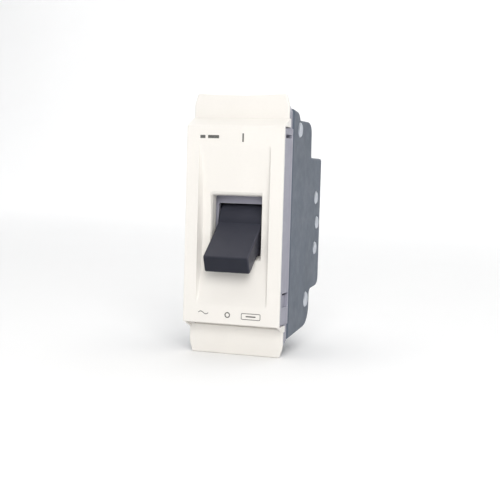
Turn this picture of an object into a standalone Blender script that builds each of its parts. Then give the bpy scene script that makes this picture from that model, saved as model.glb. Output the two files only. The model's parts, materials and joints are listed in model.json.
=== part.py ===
"""A one-module miniature circuit breaker for a modular switch plate, in metres, +Z up.

The front face looks along -Y and the toggle rests in OFF, pointing down. Depths are measured
from the flat front face towards the back. The origin is the middle of the whole object's box.
"""

import math

import bmesh
import bpy
from mathutils import Matrix

MM = 0.001
GAP = 0.3 * MM

# Front cover
FACE_WIDTH = 22.5 * MM
FACE_HEIGHT = 43.6 * MM
FACE_THICKNESS = 0.8 * MM
TOP_WALL_RISE = 1.9 * MM
BOTTOM_WALL_RISE = 1.45 * MM
CHEEK_WIDTH = 0.6 * MM
SHELF_WIDTH = 20.0 * MM
SHELF_THICKNESS = 0.7 * MM
COVER_BACK = 4.7 * MM
OVERALL_HEIGHT = 58.0 * MM
EAR_WIDTH = 22.1 * MM
EAR_FRONT = 3.7 * MM
EAR_BACK = 4.4 * MM
EAR_TAPER = 0.7 * MM
TOP_EAR_DIP = 0.28 * MM
DISH_WIDTH = 16.6 * MM
DISH_HEIGHT = 35.6 * MM
DISH_DEPTH = 2.2 * MM
WINDOW_WIDTH = 11.8 * MM
WINDOW_TOP = 7.2 * MM
WINDOW_BOTTOM = 7.4 * MM
COLLAR_BACK = 4.8 * MM

# Inner frame
FRAME_WIDTH = 22.1 * MM
FRAME_LIP_WIDTH = 22.3 * MM
FRAME_HEIGHT = 43.0 * MM
FRAME_BACK = 7.1 * MM
FRAME_EAR_WIDTH = 21.8 * MM
FRAME_EAR_END = 26.8 * MM
FRAME_EAR_BACK = 7.0 * MM
FRAME_WALL = 1.1 * MM
SHIELD_FRONT = 5.9 * MM
SHIELD_BACK = 6.9 * MM
SLOT_WIDTH = 11.0 * MM
SLOT_HEIGHT = 9.6 * MM

# Case
CASE_WIDTH = 22.2 * MM
CASE_BACK = 32.0 * MM
CASE_WALL = 1.3 * MM
BOSS_BORE = 1.0 * MM

# Toggle
TOGGLE_DEPTH = 9.6 * MM
TOGGLE_WIDTH = 10.4 * MM
TOGGLE_OFF = math.radians(32.9)
DRUM_RADIUS = 5.0 * MM
NOSE_REACH = 4.223 * MM
CRANK = 3.5 * MM
LINK_WIRE = 0.45 * MM
PIN_RADIUS = 0.7 * MM

# Contact arm, drawn closed and turned open
ARM_PIVOT = (19.45 * MM, -3.8 * MM)
ARM_TAIL = 7.0 * MM
ARM_TAIL_DROP = 1.69 * MM
ARM_SWING = math.radians(28.0)
ARM_WIDTH = 2.4 * MM

# Trip parts
TRIP_PIVOT = (15.5 * MM, -9.0 * MM)
COIL_X = 4.5 * MM
COIL_DEPTH = 20.3 * MM
COIL_TURNS = 5.5

# Rivets as (depth, height, head radius)
RIVETS = (
    (12.9 * MM, 21.7 * MM, 1.75 * MM),
    (27.9 * MM, 6.3 * MM, 1.55 * MM),
    (29.2 * MM, 0.3 * MM, 1.55 * MM),
    (28.0 * MM, -5.8 * MM, 1.55 * MM),
    (21.3 * MM, -17.6 * MM, 1.85 * MM),
)

# Terminals
UPPER_TERMINAL_Z = 18.6 * MM
UPPER_SCREW_HEAD = 20.4 * MM
LOWER_TERMINAL_Z = -20.8 * MM
LOWER_SCREW_HEAD = 19.3 * MM

ORIGIN_DEPTH = (CASE_BACK - NOSE_REACH) / 2

SIDEWAYS = (math.radians(90), 0, math.radians(90))
UPRIGHT = (math.radians(90), 0, 0)

for leftover in list(bpy.data.objects):
    bpy.data.objects.remove(leftover)

parts = bpy.data.collections.new("circuit_breaker")
bpy.context.scene.collection.children.link(parts)
cutters = bpy.data.collections.new("cutters")
bpy.context.scene.collection.children.link(cutters)


# ---------------------------------------------------------------- materials


def material(name, colour, roughness, metallic=0.0):
    made = bpy.data.materials.new(name)
    made.use_nodes = True
    shader = made.node_tree.nodes["Principled BSDF"]
    shader.inputs["Base Color"].default_value = (*colour, 1)
    shader.inputs["Roughness"].default_value = roughness
    shader.inputs["Metallic"].default_value = metallic
    return made


def build_materials():
    return {
        "cover": material("cover_white", (0.90, 0.89, 0.86), 0.35),
        "frame": material("frame_grey", (0.42, 0.43, 0.50), 0.45),
        "case": material("case_slate", (0.17, 0.19, 0.23), 0.5),
        "toggle": material("toggle_charcoal", (0.035, 0.037, 0.055), 0.4),
        "rivet": material("rivet_steel", (0.62, 0.65, 0.70), 0.35, 1.0),
        "steel": material("steel", (0.55, 0.56, 0.58), 0.35, 1.0),
        "copper": material("copper", (0.85, 0.42, 0.25), 0.3, 1.0),
        "brass": material("brass", (0.80, 0.62, 0.30), 0.3, 1.0),
        "silver": material("contact_silver", (0.90, 0.89, 0.86), 0.25, 1.0),
        "bobbin": material("bobbin_plastic", (0.75, 0.72, 0.60), 0.5),
        "trip": material("trip_plastic", (0.55, 0.18, 0.10), 0.5),
        "fibre": material("arc_fibre", (0.60, 0.50, 0.36), 0.8),
        "bimetal": material("bimetal", (0.50, 0.47, 0.42), 0.4, 1.0),
    }


# ---------------------------------------------------------------- shape helpers


def empty(name, depth=0.0, z=0.0, x=0.0, parent=None, turn=0.0):
    made = bpy.data.objects.new(name, None)
    parts.objects.link(made)
    made.location = (x, depth, z)
    made.rotation_euler.x = turn
    made.parent = parent
    return made


def finish(made, paint, helper):
    """Puts a new object in its collection, with its material or as a hidden helper."""
    for collection in list(made.users_collection):
        collection.objects.unlink(made)
    if helper:
        cutters.objects.link(made)
        made.hide_render = True
        made.display_type = "WIRE"
    else:
        parts.objects.link(made)
        made.data.materials.append(MATERIALS[paint])
    if made.parent is None:
        made.parent = FACE
    return made


def box(name, x, depth, z, paint=None, parent=None):
    """A box between (low, high) pairs along each axis. Without a paint it is a helper."""
    bpy.ops.mesh.primitive_cube_add(size=1)
    made = bpy.context.object
    made.name = name
    made.data.name = name
    made.location = [(low + high) / 2 for low, high in (x, depth, z)]
    made.data.transform(Matrix.Diagonal((*[high - low for low, high in (x, depth, z)], 1)))
    made.parent = parent
    return finish(made, paint, paint is None)


def rod(name, radius, x, depth, z, paint=None, parent=None, sides=20):
    """A cylinder along the axis whose (low, high) pair isn't a single number."""
    spans = [side if isinstance(side, tuple) else (side, side) for side in (x, depth, z)]
    lengths = [high - low for low, high in spans]
    along = lengths.index(max(lengths))
    bpy.ops.mesh.primitive_cylinder_add(vertices=sides, radius=radius, depth=lengths[along])
    made = bpy.context.object
    made.name = name
    made.data.name = name
    made.rotation_euler = ((0, math.radians(90), 0), (math.radians(90), 0, 0), (0, 0, 0))[along]
    made.location = [(low + high) / 2 for low, high in spans]
    made.parent = parent
    smooth(made)
    return finish(made, paint, paint is None)


def smooth(made):
    made.data.shade_smooth()
    made.data.set_sharp_from_angle(angle=math.radians(35))


def mesh_from_curve(made):
    """The same object as a mesh, with its caps welded to its sides."""
    bpy.context.view_layer.update()
    graph = bpy.context.evaluated_depsgraph_get()
    mesh = bpy.data.meshes.new_from_object(made.evaluated_get(graph))
    work = bmesh.new()
    work.from_mesh(mesh)
    bmesh.ops.remove_doubles(work, verts=work.verts, dist=0.001 * MM)
    bmesh.ops.recalc_face_normals(work, faces=work.faces)
    work.to_mesh(mesh)
    work.free()
    solid = bpy.data.objects.new(made.name + "_mesh", mesh)
    solid.matrix_world = made.matrix_world
    name = made.name
    bpy.data.objects.remove(made)
    solid.name = name
    return solid


def flat_plate(name, outline, ends, turn, along):
    """A plate with a closed outline, turned to lie across one axis between two ends."""
    curve = bpy.data.curves.new(name, "CURVE")
    curve.dimensions = "2D"
    curve.fill_mode = "BOTH"
    curve.extrude = (ends[1] - ends[0]) / 2
    spline = curve.splines.new("POLY")
    spline.points.add(len(outline) - 1)
    for point, (across, up) in zip(spline.points, outline):
        point.co = (across, up, 0, 1)
    spline.use_cyclic_u = True
    flat = bpy.data.objects.new(name, curve)
    bpy.context.scene.collection.objects.link(flat)
    flat.rotation_euler = turn
    flat.location[along] = (ends[0] + ends[1]) / 2
    return mesh_from_curve(flat)


def front_plate(name, outline, depth):
    """A helper with a closed (x, z) outline, from the low to the high depth."""
    made = flat_plate(name, outline, depth, UPRIGHT, 1)
    smooth(made)
    return finish(made, None, True)


def level_plate(name, outline, z):
    """A helper with a closed (x, depth) outline, from the low to the high z."""
    made = flat_plate(name, outline, z, (0, 0, 0), 2)
    smooth(made)
    return finish(made, None, True)


def side_plate(name, outline, x, paint=None, parent=None):
    """A plate with a closed (depth, z) outline, from the low to the high x."""
    made = flat_plate(name, outline, x, SIDEWAYS, 0)
    made.parent = parent
    smooth(made)
    return finish(made, paint, paint is None)


def wire(name, points, radius, paint, parent=None, sides_level=2):
    """A round wire through (x, depth, z) points, as a mesh."""
    curve = bpy.data.curves.new(name, "CURVE")
    curve.dimensions = "3D"
    curve.bevel_depth = radius
    curve.bevel_resolution = sides_level
    curve.use_fill_caps = True
    spline = curve.splines.new("POLY")
    spline.points.add(len(points) - 1)
    for point, place in zip(spline.points, points):
        point.co = (*place, 1)
    flat = bpy.data.objects.new(name, curve)
    bpy.context.scene.collection.objects.link(flat)
    made = mesh_from_curve(flat)
    made.parent = parent
    smooth(made)
    return finish(made, paint, False)


def combine(made, other, operation):
    modifier = made.modifiers.new(f"{operation.lower()}_{other.name}", "BOOLEAN")
    modifier.operation = operation
    modifier.object = other
    modifier.solver = "EXACT"


def add(made, *others):
    for other in others:
        combine(made, other, "UNION")


def cut(made, *others):
    for other in others:
        combine(made, other, "DIFFERENCE")


def rounded(corners, steps=4):
    """A closed outline from (depth, z, radius) corners, with each corner an arc."""
    outline = []
    count = len(corners)
    for index, (y, z, radius) in enumerate(corners):
        before = corners[index - 1]
        after = corners[(index + 1) % count]
        if radius == 0:
            outline.append((y, z))
            continue
        to_before = (before[0] - y, before[1] - z)
        to_after = (after[0] - y, after[1] - z)
        length_before = math.hypot(*to_before)
        length_after = math.hypot(*to_after)
        u = (to_before[0] / length_before, to_before[1] / length_before)
        v = (to_after[0] / length_after, to_after[1] / length_after)
        half = math.acos(max(-1, min(1, u[0] * v[0] + u[1] * v[1]))) / 2
        reach = radius / math.tan(half)
        bisector = (u[0] + v[0], u[1] + v[1])
        scale = radius / math.sin(half) / math.hypot(*bisector)
        centre = (y + bisector[0] * scale, z + bisector[1] * scale)
        start = math.atan2(z + u[1] * reach - centre[1], y + u[0] * reach - centre[0])
        end = math.atan2(z + v[1] * reach - centre[1], y + v[0] * reach - centre[0])
        sweep = (end - start + math.pi) % (2 * math.pi) - math.pi
        for step in range(steps + 1):
            angle = start + sweep * step / steps
            outline.append(
                (centre[0] + radius * math.cos(angle), centre[1] + radius * math.sin(angle))
            )
    return outline


def helix(centre, radius, start, end, turns, axis, per_turn=14):
    """Points of a coil along X or Z round a centre given as (x, depth, z)."""
    points = []
    count = int(turns * per_turn)
    for index in range(count + 1):
        share = index / count
        angle = 2 * math.pi * turns * share
        along = start + (end - start) * share
        if axis == "X":
            points.append(
                (along, centre[1] + radius * math.cos(angle), centre[2] + radius * math.sin(angle))
            )
        else:
            points.append(
                (centre[0] + radius * math.cos(angle), centre[1] + radius * math.sin(angle), along)
            )
    return points


def mm(*corners):
    """Corners given in millimetres, in metres."""
    return [tuple(value * MM for value in corner) for corner in corners]


def span(low, high):
    return (low * MM, high * MM)


def both(half):
    """A span of plus and minus a half width."""
    return (-half, half)


# ---------------------------------------------------------------- front cover


def arc_outline(half_height, sagitta, front):
    """The dish in side view: an arc between its two ends, closed along a line in front."""
    radius = (half_height**2 + sagitta**2) / (2 * sagitta)
    outline = [(front, half_height), (front, -half_height)]
    steps = 16
    for step in range(steps + 1):
        z = -half_height + 2 * half_height * step / steps
        outline.append((sagitta - radius + math.sqrt(radius**2 - z**2), z))
    return outline


def end_outline(sign, rise):
    """The sloped wall between the face and an ear, at the top (1) or bottom (-1)."""
    top = FACE_HEIGHT / 2
    corners = [
        (0, top - 0.1 * MM),
        (0, top),
        (EAR_FRONT + 0.15 * MM, top + rise),
        (COVER_BACK, top + rise),
        (COVER_BACK, top),
        (FACE_THICKNESS, top),
        (FACE_THICKNESS, top - 0.1 * MM),
    ]
    return [(depth, sign * z) for depth, z in corners]


def ear_outline(sign, low, high, half, dip=0.0):
    """An ear seen from the front, narrower towards its end, with its end edge dipped."""
    tip = half - EAR_TAPER
    shoulder = high - 2.4 * MM
    land = tip - 1.2 * MM
    middle = [(land, 0), (tip / 2, 0.7 * dip), (0, dip), (-tip / 2, 0.7 * dip), (-land, 0)]
    corners = [
        (-half, low, 0),
        (half, low, 0),
        (half, shoulder, 1.5 * MM),
        (tip, high, 0.5 * MM),
        *[(x, high - drop, 0) for x, drop in middle if dip],
        (-tip, high, 0.5 * MM),
        (-half, shoulder, 1.5 * MM),
    ]
    return [(x, sign * z) for x, z in rounded(corners)]


def build_shelf():
    """The recess's ceiling under the face, with a leg that overlaps the lower ear."""
    low = -FACE_HEIGHT / 2
    profile = [
        (0.4 * MM, low),
        (EAR_FRONT + 0.1 * MM, low),
        (EAR_FRONT + 0.1 * MM, low - 0.8 * MM),
        (EAR_BACK - 0.1 * MM, low - 0.8 * MM),
        (EAR_BACK - 0.1 * MM, low + SHELF_THICKNESS),
        (0.4 * MM, low + SHELF_THICKNESS),
    ]
    return side_plate("shelf", profile, both(SHELF_WIDTH / 2))


def build_cover():
    half = FACE_WIDTH / 2
    top = FACE_HEIGHT / 2
    cover = box("front_cover", both(half), (0, FACE_THICKNESS), both(top), "cover")
    dish = arc_outline(DISH_HEIGHT / 2, DISH_DEPTH, -0.5 * MM)
    backing = [(depth + FACE_THICKNESS, z) for depth, z in dish]
    add(cover, side_plate("dish_backing", backing, both(DISH_WIDTH / 2 + 1.0 * MM)))
    collar_half = WINDOW_WIDTH / 2 + 1.1 * MM
    add(cover, box("window_collar", both(collar_half), (1.0 * MM, COLLAR_BACK), both(8.4 * MM)))
    wall = side_plate("end_wall", end_outline(1, TOP_WALL_RISE), both(half))
    cheeks = side_plate("cheeks", end_outline(-1, BOTTOM_WALL_RISE), both(half))
    between = both(half - CHEEK_WIDTH)
    cut(cheeks, box("cheek_space", between, span(-1, 9), span(-30, -15)))
    add(cover, wall, cheeks, build_shelf())
    ends = (("top", 1, 0.8 * MM, TOP_EAR_DIP), ("bottom", -1, 0, 0))
    for where, sign, start, dip in ends:
        outline = ear_outline(sign, top + start, OVERALL_HEIGHT / 2, EAR_WIDTH / 2, dip)
        ear = front_plate(f"ear_{where}", outline, (EAR_FRONT, EAR_BACK))
        bevel = ear.modifiers.new("rounded", "BEVEL")
        bevel.width = 0.2 * MM
        bevel.segments = 2
        add(cover, ear)
    cut(cover, side_plate("dish_cut", dish, both(DISH_WIDTH / 2)))
    window = [
        (-1.0 * MM, WINDOW_TOP + 0.7 * MM),
        (1.9 * MM, WINDOW_TOP),
        (5.2 * MM, WINDOW_TOP - 0.9 * MM),
        (5.2 * MM, -WINDOW_BOTTOM + 0.9 * MM),
        (1.9 * MM, -WINDOW_BOTTOM),
        (-1.0 * MM, -WINDOW_BOTTOM - 0.6 * MM),
    ]
    cut(cover, side_plate("window_cut", window, both(WINDOW_WIDTH / 2)))
    return cover


# ---------------------------------------------------------------- inner frame


def build_frame():
    half = FRAME_WIDTH / 2
    top = FRAME_HEIGHT / 2
    front = FACE_THICKNESS + GAP
    frame = box("inner_frame", both(half), (front, FRAME_BACK), both(top), "frame")
    lip = [
        (half - 0.5 * MM, 5.3 * MM),
        (half - 0.05 * MM, 5.3 * MM),
        (FRAME_LIP_WIDTH / 2, 5.6 * MM),
        (FRAME_LIP_WIDTH / 2, FRAME_EAR_BACK),
        (half - 0.5 * MM, FRAME_EAR_BACK),
    ]
    for sign in (1, -1):
        side = "right" if sign > 0 else "left"
        section = [(sign * x, depth) for x, depth in lip]
        add(frame, level_plate(f"frame_lip_{side}", section, both(top - 0.1 * MM)))
    for where, sign, rise in (("top", 1, TOP_WALL_RISE), ("bottom", -1, BOTTOM_WALL_RISE)):
        step = FACE_HEIGHT / 2 + rise + GAP
        profile = [
            (COVER_BACK + GAP, top - FRAME_WALL),
            (COVER_BACK + GAP, step),
            (EAR_BACK + GAP, step),
            (EAR_BACK + GAP, FRAME_EAR_END),
            (FRAME_EAR_BACK, FRAME_EAR_END),
            (FRAME_EAR_BACK, top - FRAME_WALL),
        ]
        profile = [(depth, sign * z) for depth, z in profile]
        add(frame, side_plate(f"frame_ear_{where}", profile, both(FRAME_EAR_WIDTH / 2)))
        for side in (1, -1):
            corner = mm((10.95, 25.2), (12.0, 25.2), (12.0, 27.2), (10.0, 27.2))
            corner = [(side * x, sign * z) for x, z in corner]
            cut(frame, front_plate(f"corner_{where}_{side}", corner, span(3.0, 9.0)))
    inner = half - FRAME_WALL
    height = (-top + FRAME_WALL + 0.5 * MM, top - FRAME_WALL)
    cut(frame, box("frame_hollow", both(inner), (0, SHIELD_FRONT), height))
    cut(frame, box("frame_back", both(inner), (SHIELD_BACK, 9 * MM), height))
    shelf_top = -FACE_HEIGHT / 2 + SHELF_THICKNESS + GAP
    room = both(SHELF_WIDTH / 2 + GAP)
    cut(frame, box("shelf_room", room, (0, EAR_BACK + GAP), (-24 * MM, shelf_top)))
    cut(frame, box("frame_slot", both(SLOT_WIDTH / 2), (4 * MM, 9 * MM), both(SLOT_HEIGHT / 2)))
    for sign in (1, -1):
        side = "right" if sign > 0 else "left"
        through = sorted((sign * (half - 2 * MM), sign * (half + MM)))
        shallow = sorted((sign * (half - 0.5 * MM), sign * (half + MM)))
        cut(frame, box(f"groove_{side}", through, span(2.0, 5.9), span(19.4, 20.2)))
        cut(frame, box(f"latch_{side}", shallow, span(2.3, 6.4), span(-17.7, -14.8)))
        cut(frame, box(f"latch_slit_{side}", through, span(2.3, 6.4), span(-15.1, -14.5)))
    return frame


# ---------------------------------------------------------------- case halves


def case_outline():
    corners = (
        (7.4, 26.1, 0),
        (11.9, 25.6, 2.2),
        (13.0, 23.9, 0.8),
        (22.6, 23.9, 2.6),
        (22.9, 15.7, 0.5),
        (32.0, 15.7, 0.7),
        (32.0, -15.0, 2.4),
        (24.4, -15.6, 1.2),
        (24.4, -23.6, 5.0),
        (7.4, -25.3, 0),
    )
    return rounded([tuple(value * MM for value in corner) for corner in corners])


def cavity_outline():
    return mm(
        (7.0, 20.6),
        (8.9, 20.6),
        (8.9, 24.6),
        (10.6, 24.3),
        (12.3, 22.6),
        (20.6, 22.6),
        (21.5, 21.7),
        (21.5, 14.4),
        (30.7, 14.4),
        (30.7, -12.6),
        (29.7, -13.7),
        (23.1, -14.2),
        (23.1, -19.6),
        (20.2, -22.6),
        (8.9, -23.8),
        (8.9, -20.6),
        (7.0, -20.6),
    )


def build_case(side, sign):
    """One half of the case, with its inner bosses, rivet holes and terminal openings."""
    outer = CASE_WIDTH / 2
    seam = GAP / 2
    inner = outer - CASE_WALL

    def reach(low, high):
        return tuple(sorted((sign * low, sign * high)))

    case = side_plate(f"{side}_case", case_outline(), reach(seam, outer), "case")
    cut(case, side_plate(f"{side}_cavity", cavity_outline(), reach(-MM, inner)))
    bosses = [(depth, z, 1.7 * MM, seam) for depth, z, _ in RIVETS]
    bosses.append((TOGGLE_DEPTH, 0, 1.5 * MM, TOGGLE_WIDTH / 2 + 1.5 * GAP))
    bosses.append((*ARM_PIVOT, 1.6 * MM, 6.0 * MM))
    if sign > 0:
        bosses.append((*TRIP_PIVOT, 1.6 * MM, 5.8 * MM))
    for number, (depth, z, radius, start) in enumerate(bosses):
        add(case, rod(f"{side}_boss_{number}", radius, reach(start, inner + 0.5 * MM), depth, z))
    for number, (depth, z, radius, start) in enumerate(bosses):
        through = number < len(RIVETS)
        end = outer + MM if through else inner - 0.5 * MM
        bore = 1.3 * MM if through else BOSS_BORE + 0.1 * MM
        start = -MM if through else start - MM
        cut(case, rod(f"{side}_bore_{number}", bore, reach(start, end), depth, z))
    for number, (depth, z, head) in enumerate(RIVETS):
        seat = reach(outer - 0.75 * MM, outer + MM)
        cut(case, rod(f"{side}_seat_{number}", head + GAP / 2, seat, depth, z, sides=24))
    openings = (
        ("upper", UPPER_TERMINAL_Z, span(20.9, 24.0), 16.25 * MM, span(21.0, 26.0)),
        ("lower", LOWER_TERMINAL_Z, span(19.9, 26.0), 15.25 * MM, span(-26.0, -21.0)),
    )
    for place, height, screw_way, wire_depth, wire_way in openings:
        cut(case, rod(f"{side}_{place}_screw_hole", 1.0 * MM, 0, screw_way, height))
        cut(case, rod(f"{side}_{place}_wire_hole", 1.3 * MM, 0, wire_depth, wire_way))
    return case


def build_rivet(number, depth, z, head):
    tip = FACE_WIDTH / 2
    rivet = rod(f"case_rivet_{number}", 1.0 * MM, both(tip - 0.1 * MM), depth, z, "rivet")
    for sign in (1, -1):
        disc = sorted((sign * (tip - 0.55 * MM), sign * tip))
        add(rivet, rod(f"rivet_head_{number}_{sign}", head, tuple(disc), depth, z, sides=24))
    return rivet


# ---------------------------------------------------------------- toggle and link


def build_toggle(axis):
    """The lever drawn pointing straight forward from its axis, which holds it turned to OFF."""
    width = both(TOGGLE_WIDTH / 2)
    lever = rod("toggle_lever", DRUM_RADIUS, width, 0, 0, "toggle", axis, sides=40)
    cut(lever, turned(box("drum_back_low", both(8 * MM), span(0.4, 7.0), span(-7.0, 0.1)), axis))
    cut(lever, turned(box("drum_back_high", both(8 * MM), span(2.6, 7.0), span(-0.1, 7.0)), axis))
    handle = rounded(
        [
            (-3.6 * MM, 3.1 * MM, 0),
            (-7.0 * MM, 2.65 * MM, 0),
            (-15.3 * MM, 1.93 * MM, 0.3 * MM),
            (-16.1 * MM, -1.93 * MM, 0.3 * MM),
            (-11.5 * MM, -1.6 * MM, 0),
            (-5.4 * MM, -1.5 * MM, 0),
            (-3.0 * MM, -1.5 * MM, 0),
        ],
        steps=2,
    )
    add(lever, turned(side_plate("handle", handle, width), axis))
    add(lever, turned(rod("hub", 2.0 * MM, width, 0, 0), axis))
    add(lever, turned(box("crank", both(1.2 * MM), (0, CRANK), both(1.4 * MM)), axis))
    add(lever, turned(rod("crank_end", 1.4 * MM, both(1.2 * MM), CRANK, 0), axis))
    cut(lever, turned(box("tail_space", both(1.6 * MM), span(-2.6, 7.0), span(-6.0, -1.95)), axis))
    cut(lever, turned(rod("pin_bore", BOSS_BORE, both(7 * MM), 0, 0), axis))
    cut(lever, turned(rod("crank_bore", 0.8 * MM, both(3 * MM), CRANK, 0, sides=14), axis))
    return lever


def turned(made, axis):
    """Hangs a helper on an axis without moving it against the axis."""
    made.parent = axis
    return made


def build_toggle_parts():
    axis = empty("toggle_axis", TOGGLE_DEPTH, 0, parent=FACE, turn=TOGGLE_OFF)
    build_toggle(axis)
    rod("toggle_pin", PIN_RADIUS, both(9.0 * MM), TOGGLE_DEPTH, 0, "steel", sides=16)
    coil = helix((0, TOGGLE_DEPTH, 0), 1.95 * MM, -9.2 * MM, -6.3 * MM, 4, "X")
    wire("toggle_spring", coil, 0.18 * MM, "steel", FACE, sides_level=1)
    crank = (TOGGLE_DEPTH + CRANK * math.cos(TOGGLE_OFF), CRANK * math.sin(TOGGLE_OFF))
    tail = tail_place(-ARM_SWING)
    link_axis = empty("link_axis", *crank, parent=FACE)
    drop = (tail[0] - crank[0], tail[1] - crank[1])
    left, right = span(-1.9, 2.2)
    points = [(left, 0, 0), (right, 0, 0), (right, *drop), (left, *drop)]
    wire("drive_link", points, LINK_WIRE, "steel", link_axis)


# ---------------------------------------------------------------- contacts


def tail_place(turn):
    """The middle of the arm's tail slot, with the arm turned from closed by this angle."""
    angle = math.pi + math.asin(ARM_TAIL_DROP / ARM_TAIL) + turn
    return (
        ARM_PIVOT[0] + ARM_TAIL * math.cos(angle),
        ARM_PIVOT[1] + ARM_TAIL * math.sin(angle),
    )


def build_contact_arm():
    axis = empty("arm_axis", *ARM_PIVOT, parent=FACE, turn=-ARM_SWING)
    width = both(ARM_WIDTH / 2)
    outline = rounded(
        [
            (-8.4 * MM, -3.0 * MM, 0.8 * MM),
            (-8.4 * MM, -0.7 * MM, 0.8 * MM),
            (0, 1.2 * MM, 0),
            (3.6 * MM, -0.2 * MM, 0),
            (6.3 * MM, -0.2 * MM, 0.4 * MM),
            (6.1 * MM, -1.8 * MM, 0.5 * MM),
            (0, -1.4 * MM, 0),
        ],
        steps=3,
    )
    arm = side_plate("contact_arm", outline, width, "copper", axis)
    add(arm, turned(rod("arm_hub", 1.9 * MM, width, 0, 0), axis))
    cut(arm, turned(rod("arm_bore", BOSS_BORE + 0.1 * MM, both(3 * MM), 0, 0), axis))
    slot_y = -math.sqrt(ARM_TAIL**2 - ARM_TAIL_DROP**2)
    slot_z = -ARM_TAIL_DROP
    slot_ends = (
        (slot_y - 1.4 * MM, slot_z - 0.75 * MM, 0.7 * MM),
        (slot_y - 1.4 * MM, slot_z + 0.75 * MM, 0.7 * MM),
        (slot_y + 1.4 * MM, slot_z + 0.75 * MM, 0.7 * MM),
        (slot_y + 1.4 * MM, slot_z - 0.75 * MM, 0.7 * MM),
    )
    slot = side_plate("arm_slot", rounded(slot_ends), both(3 * MM))
    cut(arm, turned(slot, axis))
    rod("moving_contact_tip", 1.1 * MM, 0, 5.1 * MM, span(-0.1, 0.6), "silver", axis)
    rod("contact_arm_pin", 0.8 * MM, both(9.0 * MM), *ARM_PIVOT, "steel", sides=16)
    coil = helix((0, *ARM_PIVOT), 1.4 * MM, -5.6 * MM, -1.9 * MM, 5, "X")
    wire("contact_spring", coil, 0.2 * MM, "steel", FACE, sides_level=1)


def build_fixed_contact():
    outline = mm(
        (23.3, -2.3),
        (25.8, -2.3),
        (25.8, 2.2),
        (24.9, 2.2),
        (24.9, -1.4),
        (23.3, -1.4),
    )
    side_plate("fixed_contact", outline, both(1.8 * MM), "copper")
    rod("fixed_contact_tip", 1.1 * MM, 0, 24.55 * MM, span(-2.9, -2.4), "silver")


def build_arc_chute():
    first = 20.6 * MM
    pitch = 1.55 * MM
    for number in range(6):
        depth = first + number * pitch
        thick = (depth, depth + 0.8 * MM)
        plate = box(f"arc_plate_{number + 1}", both(6.5 * MM), thick, span(-13.4, -9.1), "steel")
        through = (depth - MM, depth + 2 * MM)
        cut(plate, box(f"notch_{number + 1}", both(1.2 * MM), through, span(-10.6, -8.0)))
    for side, sign in (("left", -1), ("right", 1)):
        x = tuple(sorted((sign * 6.9 * MM, sign * 7.7 * MM)))
        box(f"arc_cheek_{side}", x, span(20.0, 29.3), span(-13.3, -9.0), "fibre")
    runner = mm(
        (18.4, -13.4),
        (20.2, -13.4),
        (20.2, -12.6),
        (19.2, -12.6),
        (19.2, -9.0),
        (18.4, -9.0),
    )
    side_plate("arc_runner", runner, both(2.5 * MM), "copper")


# ---------------------------------------------------------------- magnetic trip


def build_magnetic_trip():
    coil = helix((COIL_X, COIL_DEPTH, 0), 3.0 * MM, 5.1 * MM, 11.2 * MM, COIL_TURNS, "Z")
    wire("magnetic_coil", coil, 0.42 * MM, "copper", FACE)
    bobbin = rod("coil_bobbin", 2.2 * MM, COIL_X, COIL_DEPTH, span(4.0, 12.3), "bobbin", sides=24)
    for low, high in (span(3.9, 4.4), span(11.9, 12.4)):
        add(bobbin, rod(f"flange_{low:.4f}", 3.6 * MM, COIL_X, COIL_DEPTH, (low, high), sides=24))
    cut(bobbin, rod("bobbin_bore", 1.75 * MM, COIL_X, COIL_DEPTH, span(3.0, 13.5), sides=24))
    yoke_outline = mm(
        (16.8, 2.6),
        (25.3, 2.6),
        (25.3, 13.6),
        (16.8, 13.6),
        (16.8, 12.7),
        (24.4, 12.7),
        (24.4, 3.5),
        (16.8, 3.5),
    )
    yoke = side_plate("coil_yoke", yoke_outline, (COIL_X - 3.0 * MM, COIL_X + 3.0 * MM), "steel")
    cut(yoke, rod("yoke_hole", 0.9 * MM, COIL_X, COIL_DEPTH, span(1.5, 4.5), sides=16))
    core = rod("fixed_core", 1.4 * MM, COIL_X, COIL_DEPTH, span(3.85, 5.4), "steel")
    cut(core, rod("core_bore", 0.85 * MM, COIL_X, COIL_DEPTH, span(3.0, 6.5), sides=16))
    axis = empty("plunger_axis", COIL_DEPTH, 9.2 * MM, COIL_X, FACE)
    plunger = rod("plunger", 1.35 * MM, 0, 0, span(0, 3.0), "steel", axis)
    add(plunger, turned(rod("plunger_rod", 0.5 * MM, 0, 0, span(-6.8, 0.5), sides=14), axis))
    spring = helix((COIL_X, COIL_DEPTH, 0), 0.98 * MM, 5.85 * MM, 8.75 * MM, 4, "Z", 12)
    wire("plunger_spring", spring, 0.13 * MM, "steel", FACE, sides_level=1)


def build_trip_lever():
    axis = empty("trip_axis", *TRIP_PIVOT, parent=FACE)
    outline = mm(
        (-1.0, -1.6),
        (1.0, -1.6),
        (1.5, 0.0),
        (1.6, 8.0),
        (6.4, 8.1),
        (6.4, 9.2),
        (-0.2, 9.2),
        (-0.4, 2.0),
    )
    x = span(3.7, 5.3)
    lever = side_plate("trip_lever", outline, x, "trip", axis)
    add(lever, turned(rod("trip_hub", 1.8 * MM, x, 0, 0), axis))
    add(lever, turned(box("trip_lug", span(3.8, 8.4), span(-2.2, 0.6), span(2.9, 4.3)), axis))
    cut(lever, turned(rod("trip_bore", BOSS_BORE + 0.1 * MM, span(2.0, 6.5), 0, 0), axis))
    rod("trip_lever_pin", PIN_RADIUS, span(2.8, 9.1), *TRIP_PIVOT, "steel", sides=16)


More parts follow.
